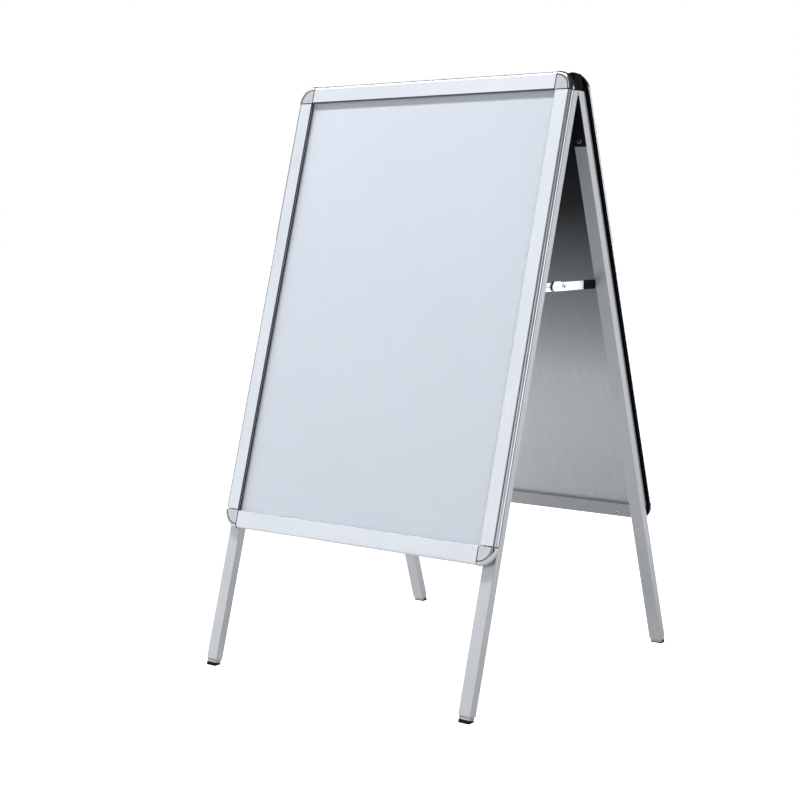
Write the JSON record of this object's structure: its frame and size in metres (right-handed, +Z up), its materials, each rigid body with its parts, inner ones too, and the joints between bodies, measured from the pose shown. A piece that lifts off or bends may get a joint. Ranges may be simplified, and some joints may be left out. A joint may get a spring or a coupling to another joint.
{
  "type": "sandwich board",
  "caption": "Folding A-frame pavement sign with two snap-frame poster boards, rounded corner caps, tubular legs, top hinges and folding side stays.",
  "frame": {"origin": "on the ground, in the middle of the footprint of the opened board", "axes": "+Z up, +X to the right across the front board, -Y towards the side the front board faces"},
  "size_m": [0.644, 0.6724, 1.1147],
  "materials": {
    "rail_aluminium": "satin silver anodised extrusion",
    "base_aluminium": "satin anodised extrusion",
    "leg_aluminium": "satin anodised tube",
    "cap_silver": "bright silver plated plastic",
    "panel_steel": "galvanised sheet",
    "cover_clear": "clear anti-glare plastic sheet",
    "block_black": "black moulded nylon",
    "strap_black": "black painted steel strap",
    "pin_steel": "zinc plated steel",
    "stay_zinc": "bright zinc plated strip",
    "sleeve_black": "black plastic",
    "fastener_steel": "zinc plated steel",
    "plug_plastic": "natural nylon",
    "pad_rubber": "black rubber",
    "spring_steel": "spring steel"
  },
  "bodies": {
    "front_board": {"front_backing_panel": "panel_steel", "front_base_bottom": "base_aluminium", "front_base_left": "base_aluminium", "front_base_right": "base_aluminium", "front_base_top": "base_aluminium", "front_cap_bottom_left": "cap_silver", "front_cap_bottom_right": "cap_silver", "front_cap_top_left": "cap_silver", "front_cap_top_right": "cap_silver", "front_cover_sheet": "cover_clear", "front_fasteners": "fastener_steel", "front_foot_pads": "pad_rubber", "front_foot_plugs": "plug_plastic", "front_hinge_strap_left": "strap_black", "front_hinge_strap_right": "strap_black", "front_leg_left": "leg_aluminium", "front_leg_right": "leg_aluminium", "front_rail_springs": "spring_steel", "front_top_block_left": "block_black", "front_top_block_right": "block_black", "hinge_pin_left": "pin_steel", "hinge_pin_right": "pin_steel"},
    "front_top_rail": {"front_rail_top": "rail_aluminium"},
    "front_bottom_rail": {"front_rail_bottom": "rail_aluminium"},
    "front_left_rail": {"front_rail_left": "rail_aluminium"},
    "front_right_rail": {"front_rail_right": "rail_aluminium"},
    "back_board": {"back_backing_panel": "panel_steel", "back_base_bottom": "base_aluminium", "back_base_left": "base_aluminium", "back_base_right": "base_aluminium", "back_base_top": "base_aluminium", "back_cap_bottom_left": "cap_silver", "back_cap_bottom_right": "cap_silver", "back_cap_top_left": "cap_silver", "back_cap_top_right": "cap_silver", "back_cover_sheet": "cover_clear", "back_fasteners": "fastener_steel", "back_foot_pads": "pad_rubber", "back_foot_plugs": "plug_plastic", "back_hinge_strap_left": "strap_black", "back_hinge_strap_right": "strap_black", "back_leg_left": "leg_aluminium", "back_leg_right": "leg_aluminium", "back_rail_springs": "spring_steel", "back_top_block_left": "block_black", "back_top_block_right": "block_black"},
    "back_top_rail": {"back_rail_top": "rail_aluminium"},
    "back_bottom_rail": {"back_rail_bottom": "rail_aluminium"},
    "back_left_rail": {"back_rail_left": "rail_aluminium"},
    "back_right_rail": {"back_rail_right": "rail_aluminium"},
    "front_arm_left": {"stay_front_arm_left": "stay_zinc", "elbow_rivet_inner_left": "fastener_steel"},
    "rear_arm_left": {"stay_rear_arm_left": "stay_zinc", "stay_sleeve_left": "sleeve_black", "elbow_rivet_outer_left": "fastener_steel"},
    "front_arm_right": {"stay_front_arm_right": "stay_zinc", "elbow_rivet_inner_right": "fastener_steel"},
    "rear_arm_right": {"stay_rear_arm_right": "stay_zinc", "stay_sleeve_right": "sleeve_black", "elbow_rivet_outer_right": "fastener_steel"}
  },
  "joints": [
    {"name": "board_fold", "type": "hinge", "parent": "front_board", "child": "back_board", "pos_m": [0, 0, 1.07338], "axis": [-1, 0, 0], "range_deg": [0, 33]},
    {"name": "front_top_rail_snap", "type": "hinge", "parent": "front_board", "child": "front_top_rail", "pos_m": [0, -0.01793, 1.10967], "axis": [-1, 0, 0], "range_deg": [0, 95]},
    {"name": "front_bottom_rail_snap", "type": "hinge", "parent": "front_board", "child": "front_bottom_rail", "pos_m": [0, -0.26838, 0.26418], "axis": [1, 0, 0], "range_deg": [0, 95]},
    {"name": "front_left_rail_snap", "type": "hinge", "parent": "front_board", "child": "front_left_rail", "pos_m": [-0.3174, -0.14316, 0.68693], "axis": [0, -0.284, -0.9588], "range_deg": [0, 95]},
    {"name": "front_right_rail_snap", "type": "hinge", "parent": "front_board", "child": "front_right_rail", "pos_m": [0.3174, -0.14316, 0.68693], "axis": [0, 0.284, 0.9588], "range_deg": [0, 95]},
    {"name": "back_top_rail_snap", "type": "hinge", "parent": "back_board", "child": "back_top_rail", "pos_m": [0, 0.01793, 1.10967], "axis": [1, 0, 0], "range_deg": [0, 95]},
    {"name": "back_bottom_rail_snap", "type": "hinge", "parent": "back_board", "child": "back_bottom_rail", "pos_m": [0, 0.26838, 0.26418], "axis": [-1, 0, 0], "range_deg": [0, 95]},
    {"name": "back_left_rail_snap", "type": "hinge", "parent": "back_board", "child": "back_left_rail", "pos_m": [-0.3174, 0.14316, 0.68693], "axis": [0, -0.284, 0.9588], "range_deg": [0, 95]},
    {"name": "back_right_rail_snap", "type": "hinge", "parent": "back_board", "child": "back_right_rail", "pos_m": [0.3174, 0.14316, 0.68693], "axis": [0, 0.284, -0.9588], "range_deg": [0, 95]},
    {"name": "front_arm_left_fold", "type": "hinge", "parent": "front_board", "child": "front_arm_left", "pos_m": [-0.2821, -0.11232, 0.73046], "axis": [1, 0, 0], "range_deg": [0, 68.6]},
    {"name": "rear_arm_left_fold", "type": "hinge", "parent": "back_board", "child": "rear_arm_left", "pos_m": [-0.2852, 0.11232, 0.73046], "axis": [-1, 0, 0], "range_deg": [0, 68.6]},
    {"name": "front_arm_right_fold", "type": "hinge", "parent": "front_board", "child": "front_arm_right", "pos_m": [0.2821, -0.11232, 0.73046], "axis": [1, 0, 0], "range_deg": [0, 68.6]},
    {"name": "rear_arm_right_fold", "type": "hinge", "parent": "back_board", "child": "rear_arm_right", "pos_m": [0.2852, 0.11232, 0.73046], "axis": [-1, 0, 0], "range_deg": [0, 68.6]}
  ],
  "couplings": [
    {"joint": "front_arm_left_fold", "follows": "board_fold", "ratio": 2.0678},
    {"joint": "rear_arm_left_fold", "follows": "board_fold", "ratio": 2.0678},
    {"joint": "front_arm_right_fold", "follows": "board_fold", "ratio": 2.0678},
    {"joint": "rear_arm_right_fold", "follows": "board_fold", "ratio": 2.0678}
  ]
}
